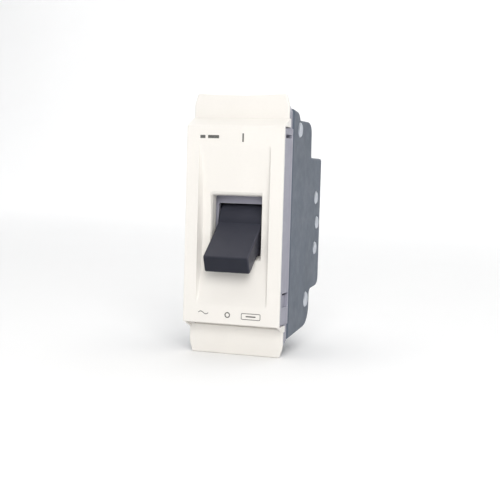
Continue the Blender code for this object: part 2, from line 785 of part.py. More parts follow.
def build_thermal_trip():
    axis = empty("bimetal_axis", 12.35 * MM, -16.4 * MM, 7.5 * MM, FACE)
    box("bimetal_strip", both(1.5 * MM), span(-0.35, 0.35), span(-1.1, 12.2), "bimetal", axis)
    height = span(-17.8, -15.6)
    bracket = box("bimetal_bracket", span(-1.6, 9.2), span(13.2, 14.0), height, "copper")
    add(bracket, box("bracket_foot", span(-1.6, 1.6), span(13.2, 15.6), span(-16.4, -15.6)))
    x, z = 7.5 * MM, -16.4 * MM
    screw = rod("calibration_screw", 0.8 * MM, x, span(9.5, 11.7), z, "brass", sides=16)
    add(screw, rod("calibration_head", 1.4 * MM, x, span(9.0, 9.9), z))
    cut(screw, box("calibration_slot", span(6.0, 9.0), span(8.5, 9.35), span(-16.6, -16.2)))
    route = mm(
        (2.6, 17.2, -5.6),
        (2.6, 17.0, -8.0),
        (2.8, 16.6, -10.6),
        (3.6, 15.7, -12.6),
        (5.0, 14.6, -13.4),
        (6.5, 13.9, -12.9),
        (7.4, 13.8, -11.4),
    )
    wire("braid", route, 0.75 * MM, "copper", FACE)


# ---------------------------------------------------------------- terminals


def build_terminal(place, height, head_depth):
    """A screw from the back that draws a cage towards itself, so it grips a wire on the plate."""
    axis = empty(f"{place}_screw_axis", head_depth, height, 0, FACE)
    screw = rod(f"{place}_terminal_screw", 1.35 * MM, 0, span(0, 0.8), 0, "steel", axis)
    shaft = rod(f"{place}_shaft", 0.85 * MM, 0, span(-2.3, 0.2), 0, sides=16)
    add(screw, turned(shaft, axis))
    slot = box(f"{place}_slot", both(2 * MM), span(0.45, 1.5), both(0.22 * MM))
    cut(screw, turned(slot, axis))
    cage_axis = empty(f"{place}_cage_axis", head_depth, height, 0, FACE)
    name = f"{place}_terminal_cage"
    cage = box(name, both(2.9 * MM), span(-5.8, -1.6), both(1.5 * MM), "brass", cage_axis)
    tunnel = box(f"{place}_tunnel", both(2.1 * MM), span(-5.1, -2.3), both(3 * MM))
    thread = rod(f"{place}_thread", 1.15 * MM, 0, span(-3.0, 1.0), 0, sides=16)
    cut(cage, turned(tunnel, cage_axis), turned(thread, cage_axis))
    low, high = (-4.0, 1.5) if height > 0 else (-1.2, 4.2)
    across = (height + low * MM, height + high * MM)
    thick = (head_depth - 3.2 * MM, head_depth - 2.6 * MM)
    box(f"{place}_terminal_plate", both(1.6 * MM), thick, across, "copper")


# ---------------------------------------------------------------- the breaker

MATERIALS = build_materials()
FACE = empty("breaker_front", -ORIGIN_DEPTH)


def build_breaker():
    build_cover()
    build_frame()
    build_case("left", -1)
    build_case("right", 1)
    for number, (depth, z, head) in enumerate(RIVETS, start=1):
        build_rivet(number, depth, z, head)
    build_toggle_parts()
    build_contact_arm()
    build_fixed_contact()
    build_arc_chute()
    build_magnetic_trip()
    build_trip_lever()
    build_thermal_trip()
    build_terminal("upper", UPPER_TERMINAL_Z, UPPER_SCREW_HEAD)
    build_terminal("lower", LOWER_TERMINAL_Z, LOWER_SCREW_HEAD)


build_breaker()
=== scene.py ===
"""The looks of a one-module circuit breaker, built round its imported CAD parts.

The mouldings that show are rebuilt here with rounded edges and fillets, the rivets are turned,
every material is procedural, and the marks on the face are plain symbols. Lengths are in metres.
Depths run from the flat front face towards the back, and places come from the frame's boxes.
"""

import json
import math

import bmesh
import bpy
from mathutils import Matrix, Vector


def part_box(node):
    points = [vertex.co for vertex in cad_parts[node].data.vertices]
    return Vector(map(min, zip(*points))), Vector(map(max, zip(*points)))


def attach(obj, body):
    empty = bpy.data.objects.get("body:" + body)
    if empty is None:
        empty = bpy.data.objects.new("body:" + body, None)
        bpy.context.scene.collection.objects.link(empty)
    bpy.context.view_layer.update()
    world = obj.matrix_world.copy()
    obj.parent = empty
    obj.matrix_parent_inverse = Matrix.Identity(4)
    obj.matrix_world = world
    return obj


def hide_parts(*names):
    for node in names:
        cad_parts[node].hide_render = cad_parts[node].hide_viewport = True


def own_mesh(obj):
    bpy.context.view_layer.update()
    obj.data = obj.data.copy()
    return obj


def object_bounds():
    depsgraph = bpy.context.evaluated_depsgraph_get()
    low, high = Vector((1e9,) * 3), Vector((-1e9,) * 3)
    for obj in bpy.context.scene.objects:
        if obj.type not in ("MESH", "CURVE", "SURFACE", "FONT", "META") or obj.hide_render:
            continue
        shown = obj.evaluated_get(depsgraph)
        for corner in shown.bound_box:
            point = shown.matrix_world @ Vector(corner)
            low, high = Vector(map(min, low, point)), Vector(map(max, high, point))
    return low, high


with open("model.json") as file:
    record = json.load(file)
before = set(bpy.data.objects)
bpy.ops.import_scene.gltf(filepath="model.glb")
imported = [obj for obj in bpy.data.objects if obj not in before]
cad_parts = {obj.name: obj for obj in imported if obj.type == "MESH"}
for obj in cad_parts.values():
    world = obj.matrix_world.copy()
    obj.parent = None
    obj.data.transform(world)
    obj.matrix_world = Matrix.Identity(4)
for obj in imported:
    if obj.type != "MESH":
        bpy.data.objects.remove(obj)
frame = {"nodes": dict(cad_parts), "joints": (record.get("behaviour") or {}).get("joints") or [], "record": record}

CAD_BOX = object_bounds()

MM = 0.001
GAP = 0.3 * MM

# Places taken from the CAD
COVER_LOW, COVER_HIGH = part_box("front_cover")
FRAME_LOW, FRAME_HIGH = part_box("inner_frame")
CASE_LOW, CASE_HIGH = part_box("right_case")
LEVER_LOW, LEVER_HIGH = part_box("toggle_lever")
FACE_Y = COVER_LOW.y
JOINTS = {joint["name"]: joint for joint in frame["joints"]}

# Front cover
FACE_TOP = 21.8 * MM
FACE_THICKNESS = 0.8 * MM
TOP_WALL_RISE = 1.9 * MM
BOTTOM_WALL_RISE = 1.45 * MM
CHEEK_WIDTH = 0.6 * MM
SHELF_HALF = 10.0 * MM
SHELF_THICKNESS = 0.7 * MM
COVER_BACK = 4.7 * MM
EAR_HALF = 11.05 * MM
EAR_FRONT = 3.7 * MM
EAR_BACK = 4.4 * MM
EAR_TAPER = 0.7 * MM
TOP_EAR_DIP = 0.28 * MM
DISH_HALF = 8.3 * MM
DISH_TOP = 17.8 * MM
DISH_DEPTH = 2.2 * MM
DISH_WALL = 0.6 * MM
WINDOW_HALF = 5.78 * MM
COLLAR_BACK = 4.8 * MM

# Inner frame, with the (depth, z) corners of the marks on its sides
FRAME_HALF = 11.05 * MM
FRAME_TOP = 21.68 * MM
FRAME_BACK = 7.1 * MM
FRAME_WALL = 1.1 * MM
FRAME_EAR_HALF = 10.9 * MM
FRAME_EAR_BACK = 7.0 * MM
FRAME_EAR_END = 26.8 * MM
SHIELD = (5.9 * MM, 6.9 * MM)
SLOT_HALF = (5.5 * MM, 4.8 * MM)
SIDE_GROOVE = ((2.0 * MM, 19.4 * MM), (5.9 * MM, 20.2 * MM))
SIDE_LATCH = ((2.3 * MM, -17.7 * MM), (6.4 * MM, -14.8 * MM))
SIDE_SLIT = ((2.3 * MM, -15.1 * MM), (6.4 * MM, -14.5 * MM))

# Case
CASE_WALL = 1.3 * MM
CASE_EDGE = 0.55 * MM

# Toggle
TOGGLE_OFF = math.radians(32.9)
DRUM_RADIUS = 5.0 * MM
CRANK = 3.5 * MM
TOGGLE_EDGE = 0.35 * MM


# ---------------------------------------------------------------- mesh helpers


def new_object(name, mesh, paint):
    made = bpy.data.objects.new(name, mesh)
    bpy.context.scene.collection.objects.link(made)
    if paint is not None:
        mesh.materials.append(paint)
    return made


def skin(name, rings, paint=None, capped=True):
    """A closed surface through rings of points. Without caps the last ring meets the first."""
    work = bmesh.new()
    rows = [[work.verts.new(point) for point in ring] for ring in rings]
    pairs = list(zip(rows, rows[1:]))
    if not capped:
        pairs.append((rows[-1], rows[0]))
    for one, two in pairs:
        for index in range(len(one)):
            work.faces.new((one[index - 1], one[index], two[index], two[index - 1]))
    if capped:
        work.faces.new(rows[0])
        work.faces.new(rows[-1])
    bmesh.ops.recalc_face_normals(work, faces=work.faces)
    mesh = bpy.data.meshes.new(name)
    work.to_mesh(mesh)
    work.free()
    return new_object(name, mesh, paint)


def inset_corners(corners, inset):
    """(a, b, radius) corners moved inwards by an inset, with their radii changed to suit."""
    closed = corners + corners[:1]
    area = sum(p[0] * q[1] - q[0] * p[1] for p, q in zip(closed, closed[1:]))
    side = math.copysign(1, area)
    moved = []
    for index, (a, b, radius) in enumerate(corners):
        here = Vector((a, b))
        into = (here - Vector(corners[index - 1][:2])).normalized()
        out = (Vector(corners[(index + 1) % len(corners)][:2]) - here).normalized()
        inward = Vector((-into.y - out.y, into.x + out.x)) * side
        place = here + inward * (2 * inset / inward.length_squared)
        if radius:
            convex = into.cross(out) * side > 0
            radius = max(radius - inset if convex else radius + inset, 0.02 * MM)
        moved.append((place.x, place.y, radius))
    return moved


def outline_of(corners):
    """Points of an outline, with an arc at each corner that has a radius."""
    points = []
    for index, (a, b, radius) in enumerate(corners):
        here = Vector((a, b))
        if not radius:
            points.append(here)
            continue
        into = (here - Vector(corners[index - 1][:2])).normalized()
        out = (Vector(corners[(index + 1) % len(corners)][:2]) - here).normalized()
        turn = into.angle(out)
        normal = Vector((-into.y, into.x)) * math.copysign(1, into.cross(out))
        centre = here - into * radius * math.tan(turn / 2) + normal * radius
        steps = max(2, round(math.degrees(turn) / 15))
        for step in range(steps + 1):
            angle = turn * step / steps
            points.append(centre - normal * radius * math.cos(angle) + into * radius * math.sin(angle))
    return points


def placed(axis, a, b, along):
    """A drawing's point in the row frame: (depth, z) across X, (x, z) across Y, (x, depth) up Z."""
    if axis == "X":
        return (along, FACE_Y + a, b)
    if axis == "Y":
        return (a, FACE_Y + along, b)
    return (a, FACE_Y + b, along)


def quarter(radius, steps=4):
    """(inset, reach) pairs that round an edge, from the end face to the side."""
    if not radius:
        return [(0, 0)]
    angles = [math.pi / 2 * step / steps for step in range(steps + 1)]
    return [(radius * (1 - math.sin(t)), radius * (1 - math.cos(t))) for t in angles]


def moulding(name, corners, ends, edges=(0, 0), axis="X", paint=None):
    """A prism between two ends along an axis, with its end edges rounded by two radii."""
    levels = [(inset, ends[0] + reach) for inset, reach in quarter(edges[0])]
    levels += [(inset, ends[1] - reach) for inset, reach in reversed(quarter(edges[1]))]
    rings = []
    for inset, along in levels:
        outline = outline_of(inset_corners(corners, inset))
        rings.append([placed(axis, point.x, point.y, along) for point in outline])
    return skin(name, rings, paint)


def rectangle(low, high, radius):
    return [
        (low[0], low[1], radius),
        (high[0], low[1], radius),
        (high[0], high[1], radius),
        (low[0], high[1], radius),
    ]


def disc(radius, sides, middle=0):
    """A round outline, drawn along the first axis from the middle."""
    angles = [2 * math.pi * side / sides for side in range(sides)]
    return [(middle + radius * math.cos(t), radius * math.sin(t), 0) for t in angles]


def in_mm(*corners):
    return [tuple(value * MM for value in corner) for corner in corners]


def mirrored(corners):
    """The same (depth, z) corners upside down, in the same turning sense."""
    return [(a, -b, radius) for a, b, radius in reversed(corners)]


def turned_part(name, profile, depth, z, paint, sides=40):
    """A turned piece on an axis along X, from (x, radius) pairs."""
    rings = []
    for x, radius in profile:
        ring = []
        for side in range(sides):
            angle = 2 * math.pi * side / sides
            ring.append((x, FACE_Y + depth + radius * math.cos(angle), z + radius * math.sin(angle)))
        rings.append(ring)
    return skin(name, rings, paint)


def carved(made, *steps):
    """Joins or cuts other shapes, given as (operation, shape), and removes them."""
    for operation, other in steps:
        modifier = made.modifiers.new(other.name, "BOOLEAN")
        modifier.operation = operation
        modifier.object = other
        modifier.solver = "EXACT"
    bpy.context.view_layer.update()
    graph = bpy.context.evaluated_depsgraph_get()
    mesh = bpy.data.meshes.new_from_object(made.evaluated_get(graph))
    made.modifiers.clear()
    made.data = mesh
    for _, other in steps:
        bpy.data.objects.remove(other)
    return made


def join(*others):
    return [("UNION", other) for other in others]


def cut(*others):
    return [("DIFFERENCE", other) for other in others]


def softened(made, edge=0.0):
    """Rounds the crossings that a Boolean left sharp, and shades flats flat and fillets smooth."""
    work = bmesh.new()
    work.from_mesh(made.data)
    bmesh.ops.remove_doubles(work, verts=work.verts, dist=0.002 * MM)
    bmesh.ops.dissolve_limit(work, angle_limit=math.radians(0.3), verts=work.verts, edges=work.edges)
    work.to_mesh(made.data)
    work.free()
    if edge:
        bevel = made.modifiers.new("edge", "BEVEL")
        bevel.limit_method = "ANGLE"
        bevel.angle_limit = math.radians(38)
        bevel.width = edge
        bevel.segments = 2
        bevel.use_clamp_overlap = True
    made.data.shade_smooth()
    made.data.set_sharp_from_angle(angle=math.radians(38))
    normals = made.modifiers.new("normals", "WEIGHTED_NORMAL")
    normals.keep_sharp = True
    return made


# ---------------------------------------------------------------- materials


class Nodes:
    """Builds one material's node tree."""

    def __init__(self, name):
        self.material = bpy.data.materials.new(name)
        self.material.use_nodes = True
        self.tree = self.material.node_tree
        self.shader = self.tree.nodes["Principled BSDF"]
        self.places = self.add("ShaderNodeTexCoord").outputs["Object"]

    def add(self, kind, **settings):
        node = self.tree.nodes.new(kind)
        for key, value in settings.items():
            setattr(node, key, value)
        return node

    def feed(self, source, target):
        self.tree.links.new(source, target)

    def noise(self, size, detail=3.0, stretch=(1, 1, 1)):
        """Noise whose spots are about this size."""
        mapping = self.add("ShaderNodeMapping")
        mapping.inputs["Scale"].default_value = [1 / size / amount for amount in stretch]
        self.feed(self.places, mapping.inputs["Vector"])
        texture = self.add("ShaderNodeTexNoise")
        texture.inputs["Scale"].default_value = 1
        texture.inputs["Detail"].default_value = detail
        self.feed(mapping.outputs["Vector"], texture.inputs["Vector"])
        return texture.outputs["Fac"]

    def between(self, source, low, high, start=0.0, end=1.0):
        """A value spread from one range onto another."""
        spread = self.add("ShaderNodeMapRange")
        spread.inputs["From Min"].default_value = start
        spread.inputs["From Max"].default_value = end
        spread.inputs["To Min"].default_value = low
        spread.inputs["To Max"].default_value = high
        self.feed(source, spread.inputs["Value"])
        return spread.outputs["Result"]

    def times(self, one, two):
        product = self.add("ShaderNodeMath", operation="MULTIPLY")
        self.feed(one, product.inputs[0])
        self.feed(two, product.inputs[1])
        return product.outputs[0]

    def mixed(self, share, one, two):
        """A colour between two, each a colour or another node's output."""
        blend = self.add("ShaderNodeMix", data_type="RGBA")
        self.feed(share, blend.inputs["Factor"])
        for value, name in ((one, "A"), (two, "B")):
            if isinstance(value, tuple):
                socket_of(blend.inputs, name).default_value = (*value, 1)
            else:
                self.feed(value, socket_of(blend.inputs, name))
        return socket_of(blend.outputs, "Result")

    def edges(self, radius):
        """1 along convex and concave edges, and 0 on flats."""
        bevel = self.add("ShaderNodeBevel", samples=6)
        bevel.inputs["Radius"].default_value = radius
        geometry = self.add("ShaderNodeNewGeometry")
        facing = self.add("ShaderNodeVectorMath", operation="DOT_PRODUCT")
        self.feed(bevel.outputs["Normal"], facing.inputs[0])
        self.feed(geometry.outputs["True Normal"], facing.inputs[1])
        return self.between(facing.outputs["Value"], 1, 0, 0.80, 0.99)

    def facing(self, direction):
        """How far the surface faces a direction of its piece at rest, from -1 to 1."""
        compared = self.add("ShaderNodeVectorMath", operation="DOT_PRODUCT")
        compared.inputs[1].default_value = Vector(direction).normalized()
        self.feed(self.add("ShaderNodeTexCoord").outputs["Normal"], compared.inputs[0])
        return compared.outputs["Value"]

    def bump(self, height, depth):
        node = self.add("ShaderNodeBump")
        node.inputs["Distance"].default_value = depth
        self.feed(height, node.inputs["Height"])
        self.feed(node.outputs["Normal"], self.shader.inputs["Normal"])


def socket_of(sockets, name):
    """The colour socket of this name on a mix, which also has number sockets of that name."""
    return [socket for socket in sockets if socket.name == name and socket.type == "RGBA"][0]


def tint(colour, factor):
    return tuple(min(1.0, value * factor) for value in colour)


def moulded_plastic(
    name, colour, roughness, grain, grain_depth, wear_and_painted_light, uneven=0.04, coat=0.0, shine=0.5, painted_light_facing=None
):
    """Moulded plastic with a fine spark-eroded grain, slight flow marks and rubbed edges.

    A piece given a lit direction is painted paler on the faces that look that way. This is painted light, standing
    in for the light and sheen those faces catch.
    """
    made = Nodes(name)
    flow = made.noise(9 * MM, 2.0, (1, 1, 2.5))
    specks = made.noise(0.6 * MM, 2.0)
    share = made.between(flow, 0, 1, 0.3, 0.7)
    shade = made.mixed(share, tint(colour, 1 - uneven), tint(colour, 1 + uneven))
    shade = made.mixed(made.between(specks, 0, 0.5, 0.45, 0.8), shade, tint(colour, 1 - 1.6 * uneven))
    rubbed = made.times(made.edges(0.35 * MM), made.between(made.noise(1.8 * MM), 0.1, 0.7, 0.35, 0.65))
    shade = made.mixed(rubbed, shade, wear_and_painted_light)
    # Painted light: faces turned towards the given direction are painted paler, the way lit faces with sheen look.
    if painted_light_facing:
        shade = made.mixed(made.between(made.facing(painted_light_facing), 0, 0.7, 0, 0.8), shade, wear_and_painted_light)
    made.feed(shade, made.shader.inputs["Base Color"])
    rough = made.between(made.noise(2.5 * MM, 4.0), roughness - 0.06, roughness + 0.08, 0.3, 0.7)
    made.feed(rough, made.shader.inputs["Roughness"])
    made.shader.inputs["Specular IOR Level"].default_value = shine
    made.shader.inputs["Coat Weight"].default_value = coat
    made.shader.inputs["Coat Roughness"].default_value = 0.2
    made.bump(made.noise(grain, 4.0), grain_depth)
    return made.material


def metal(name, colour, roughness, dull, brushed=(1, 1, 1), grain=0.25 * MM):
    """Metal with a fine drawn grain, tarnish in patches and brighter rubbed edges."""
    made = Nodes(name)
    patches = made.between(made.noise(1.6 * MM, 4.0), 0, 1, 0.4, 0.65)
    shade = made.mixed(patches, colour, dull)
    shade = made.mixed(made.edges(0.15 * MM), shade, tint(colour, 1.15))
    made.feed(shade, made.shader.inputs["Base Color"])
    made.shader.inputs["Metallic"].default_value = 1
    lines = made.noise(grain, 5.0, brushed)
    rough = made.between(lines, roughness - 0.08, roughness + 0.12, 0.3, 0.7)
    made.feed(rough, made.shader.inputs["Roughness"])
    made.bump(lines, 0.008 * MM)
    return made.material


def printed_ink():
    """Pad-printed ink: matt, and a little thin in places."""
    made = Nodes("printed_ink")
    cover = made.between(made.noise(0.25 * MM, 3.0), 0, 1, 0.35, 0.75)
    shade = made.mixed(cover, (0.085, 0.085, 0.08), (0.16, 0.16, 0.15))
    made.feed(shade, made.shader.inputs["Base Color"])
    made.feed(made.between(cover, 0.5, 0.65), made.shader.inputs["Roughness"])
    made.bump(made.noise(0.08 * MM), 0.003 * MM)
    return made.material


def pressed_fibre():
    """Layered fibre board, with short strands in two tones."""
    made = Nodes("arc_fibre")
    strands = made.noise(0.3 * MM, 4.0, (1, 5, 1))
    shade = made.mixed(strands, (0.36, 0.27, 0.17), (0.68, 0.57, 0.42))
    made.feed(shade, made.shader.inputs["Base Color"])
    made.feed(made.between(strands, 0.75, 0.95), made.shader.inputs["Roughness"])
    made.bump(strands, 0.03 * MM)
    return made.material


def woven_copper():
    """Copper braid: two sets of fine strands that cross."""
    made = Nodes("copper_braid")
    strands = []
    for direction in ("X", "Z"):
        wave = made.add("ShaderNodeTexWave", wave_type="BANDS", bands_direction=direction)
        wave.inputs["Scale"].default_value = 0.5 / MM
        wave.inputs["Distortion"].default_value = 1.5
        made.feed(made.places, wave.inputs["Vector"])
        strands.append(wave.outputs["Fac"])
    weave = made.times(*strands)
    shade = made.mixed(weave, (0.50, 0.22, 0.11), (0.93, 0.50, 0.31))
    made.feed(shade, made.shader.inputs["Base Color"])
    made.shader.inputs["Metallic"].default_value = 1
    made.feed(made.between(weave, 0.55, 0.3), made.shader.inputs["Roughness"])
    made.bump(weave, 0.1 * MM)
    return made.material


def studio_paper():
    made = Nodes("studio_paper")
    made.feed(made.mixed(made.noise(0.05), (0.93, 0.93, 0.93), (0.95, 0.95, 0.95)),
              made.shader.inputs["Base Color"])
    made.feed(made.between(made.noise(0.02), 0.85, 0.95), made.shader.inputs["Roughness"])
    made.bump(made.noise(0.002), 0.02 * MM)
    return made.material


PAINTS = {
    "cover": moulded_plastic("cover_white", (0.825, 0.80, 0.762), 0.34, 0.35 * MM, 0.006 * MM,
                             (0.79, 0.76, 0.71), 0.015, 0.15),
    "frame": moulded_plastic("frame_grey", (0.31, 0.308, 0.373), 0.46, 0.18 * MM, 0.012 * MM,
                             (0.52, 0.52, 0.58)),
    "case": moulded_plastic("case_slate", (0.095, 0.118, 0.155), 0.50, 0.22 * MM, 0.018 * MM,
                            (0.17, 0.19, 0.23), 0.07, 0.0, 0.4),
    # The toggle's last value paints the lever's faces that look right and up paler. This is painted light and
    # sheen.
    "toggle": moulded_plastic("toggle_charcoal", (0.015, 0.017, 0.028), 0.42, 0.16 * MM, 0.012 * MM,
                              (0.072, 0.073, 0.095), 0.10, 0.0, 0.25, (0.8, -0.1, 0.6)),
    "rivet": metal("rivet_steel", (0.62, 0.65, 0.70), 0.40, (0.52, 0.55, 0.61)),
    "steel": metal("plated_steel", (0.56, 0.57, 0.59), 0.32, (0.42, 0.42, 0.43), (1, 6, 1)),
    "copper": metal("copper", (0.86, 0.44, 0.27), 0.30, (0.58, 0.27, 0.16), (1, 6, 1)),
    "brass": metal("brass", (0.80, 0.62, 0.30), 0.30, (0.60, 0.44, 0.20)),
    "silver": metal("contact_silver", (0.90, 0.89, 0.86), 0.28, (0.70, 0.68, 0.64)),
    "bimetal": metal("bimetal", (0.52, 0.49, 0.44), 0.36, (0.40, 0.35, 0.30), (1, 1, 8)),
    "bobbin": moulded_plastic("bobbin_plastic", (0.72, 0.69, 0.58), 0.45, 0.2 * MM, 0.01 * MM,
                              (0.80, 0.78, 0.68)),
    "trip": moulded_plastic("trip_plastic", (0.50, 0.15, 0.08), 0.42, 0.2 * MM, 0.01 * MM,
                            (0.62, 0.25, 0.16)),
    "fibre": pressed_fibre(),
    "braid": woven_copper(),
    "ink": printed_ink(),
}


# ---------------------------------------------------------------- front cover


def dish_depth(x, z):
    """The dish's depth under the face: an arc along its height, with short fillets at its sides."""
    radius = (DISH_TOP**2 + DISH_DEPTH**2) / (2 * DISH_DEPTH)
    along = DISH_DEPTH - radius + math.sqrt(max(radius**2 - z**2, 0))
    across = min(max((DISH_HALF - abs(x)) / DISH_WALL, 0), 1)
    return along * math.sin(across * math.pi / 2) ** 0.8


def dish_cutter():
    """The volume in front of the dish's floor."""
    wall = [DISH_HALF - DISH_WALL * share for share in (0, 0.05, 0.12, 0.22, 0.35, 0.5, 0.7, 0.85, 1)]
    floor = [(DISH_HALF - DISH_WALL) * share for share in (0.75, 0.5, 0.25)]
    half_row = [DISH_HALF + 0.5 * MM, *wall, *floor]
    row = [-x for x in half_row] + [0] + half_row[::-1]
    rows = 48
    rings = []
    for step in range(rows + 1):
        z = (DISH_TOP + 0.2 * MM) * (2 * step / rows - 1)
        ring = [(x, FACE_Y + max(dish_depth(x, z), 0) - 0.01 * MM, z) for x in row]
        ring += [(row[-1], FACE_Y - 1 * MM, z), (row[0], FACE_Y - 1 * MM, z)]
        rings.append(ring)
    return skin("dish_cutter", rings)


def window_cutter():
    """The opening for the toggle: it narrows towards the back and flares a little at its rim."""
    stations = (
        (-1.2, 0.30, 8.0, -8.1),
        (1.35, 0.30, 7.8, -8.0),
        (1.65, 0.28, 7.55, -7.75),
        (1.85, 0.26, 7.38, -7.56),
        (2.05, 0.24, 6.98, -7.42),
        (2.3, 0.18, 6.74, -7.32),
        (2.55, 0.03, 6.66, -7.24),
        (2.8, 0.0, 6.62, -7.15),
        (5.4, 0.0, 6.4, -6.45),
    )
    rings = []
    for depth, flare, top, bottom in stations:
        half = WINDOW_HALF + flare * MM
        outline = outline_of(rectangle((-half, bottom * MM), (half, top * MM), 0.35 * MM))
        rings.append([placed("Y", point.x, point.y, depth * MM) for point in outline])
    return skin("window_cutter", rings)


def ear_corners(sign, low, high, dip):
    """An ear seen from the front, narrower towards its end, with its end edge dipped."""
    tip = EAR_HALF - EAR_TAPER
    land = tip - 1.2 * MM
    middle = [(land, 0), (tip / 2, 0.7 * dip), (0, dip), (-tip / 2, 0.7 * dip), (-land, 0)]
    corners = [
        (-EAR_HALF, low, 0.1 * MM),
        (EAR_HALF, low, 0.1 * MM),
        (EAR_HALF, high - 2.4 * MM, 3.0 * MM),
        (tip, high, 0.55 * MM),
        *[(x, high - drop, 0) for x, drop in middle if dip],
        (-tip, high, 0.55 * MM),
        (-EAR_HALF, high - 2.4 * MM, 3.0 * MM),
    ]
    return [(x, sign * z, radius) for x, z, radius in corners]


def build_cover():
    half = COVER_HIGH.x
    wall = FACE_TOP + TOP_WALL_RISE
    side_view = [
        (0, -FACE_TOP, 0.28 * MM),
        (0, FACE_TOP, 0.35 * MM),
        (EAR_FRONT + 0.15 * MM, wall, 0.2 * MM),
        (COVER_BACK, wall, 0.15 * MM),
        (COVER_BACK, FACE_TOP, 0.1 * MM),
        (FACE_THICKNESS, FACE_TOP, 0.15 * MM),
        (FACE_THICKNESS, -FACE_TOP, 0.1 * MM),
    ]
    edges = (0.12 * MM, 0.12 * MM)
    cover = moulding("cover_shell", side_view, (-half, half), edges, "X", PAINTS["cover"])
    cheek = [
        (0.12 * MM, FACE_TOP - 0.5 * MM, 0),
        (0.12 * MM, FACE_TOP - 0.02 * MM, 0),
        (EAR_FRONT + 0.15 * MM, FACE_TOP + BOTTOM_WALL_RISE, 0.2 * MM),
        (COVER_BACK, FACE_TOP + BOTTOM_WALL_RISE, 0.15 * MM),
        (COVER_BACK, FACE_TOP + 0.02 * MM, 0.05 * MM),
        (0.7 * MM, FACE_TOP + 0.02 * MM, 0),
        (0.7 * MM, FACE_TOP - 0.5 * MM, 0),
    ]
    additions = []
    for side in (1, -1):
        ends = sorted((side * (half - 0.02 * MM), side * (half - CHEEK_WIDTH)))
        additions.append(moulding(f"cheek_{side}", mirrored(cheek), ends, (0.05 * MM, 0.05 * MM)))
    low = -FACE_TOP + 0.01 * MM
    shelf = [
        (0.4 * MM, low, 0),
        (EAR_FRONT + 0.1 * MM, low, 0.05 * MM),
        (EAR_FRONT + 0.1 * MM, low - 0.8 * MM, 0),
        (EAR_BACK - 0.1 * MM, low - 0.8 * MM, 0),
        (EAR_BACK - 0.1 * MM, low + SHELF_THICKNESS, 0.1 * MM),
        (0.4 * MM, low + SHELF_THICKNESS, 0),
    ]
    additions.append(moulding("shelf", shelf, (-SHELF_HALF, SHELF_HALF)))
    end = COVER_HIGH.z
    for sign, start, dip in ((1, 0.8 * MM, TOP_EAR_DIP), (-1, 0.02 * MM, 0)):
        ear = ear_corners(sign, FACE_TOP + start, end, dip)
        ends = (EAR_FRONT, EAR_BACK)
        additions.append(moulding(f"ear_{sign}", ear, ends, (0.28 * MM, 0.12 * MM), "Y"))
    backing = rectangle((-9.3 * MM, -18.3 * MM), (9.3 * MM, 18.3 * MM), 1.0 * MM)
    additions.append(moulding("dish_backing", backing, (0.5 * MM, 3.0 * MM), (0, 0.3 * MM), "Y"))
    collar = rectangle((-7.0 * MM, -8.5 * MM), (7.0 * MM, 8.5 * MM), 0.8 * MM)
    additions.append(moulding("collar", collar, (2.0 * MM, COLLAR_BACK), (0, 0.2 * MM), "Y"))
    reach = SHELF_HALF - 0.2 * MM
    line = rectangle((-reach, low - 0.85 * MM), (reach, low - 0.02 * MM), 0.05 * MM)
    ends = (EAR_FRONT - 0.5 * MM, EAR_FRONT + 0.42 * MM)
    shadow_line = moulding("shadow_line", line, ends, (0, 0), "Y")
    carved(cover, *join(*additions), *cut(dish_cutter(), window_cutter(), shadow_line))
    softened(cover, 0.07 * MM)
    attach(cover, "housing")
    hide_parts("front_cover")


# ---------------------------------------------------------------- inner frame


def frame_ear(rise):
    """The side view of the frame's ear behind the cover's, drawn for the top."""
    step = FACE_TOP + rise + GAP
    return [
        (5.0 * MM, FRAME_TOP - FRAME_WALL, 0.05 * MM),
        (5.0 * MM, step, 0.1 * MM),
        (4.7 * MM, step, 0.1 * MM),
        (4.7 * MM, FRAME_EAR_END, 0.25 * MM),
        (FRAME_EAR_BACK, FRAME_EAR_END, 0.25 * MM),
        (FRAME_EAR_BACK, FRAME_TOP - FRAME_WALL, 0.05 * MM),
    ]


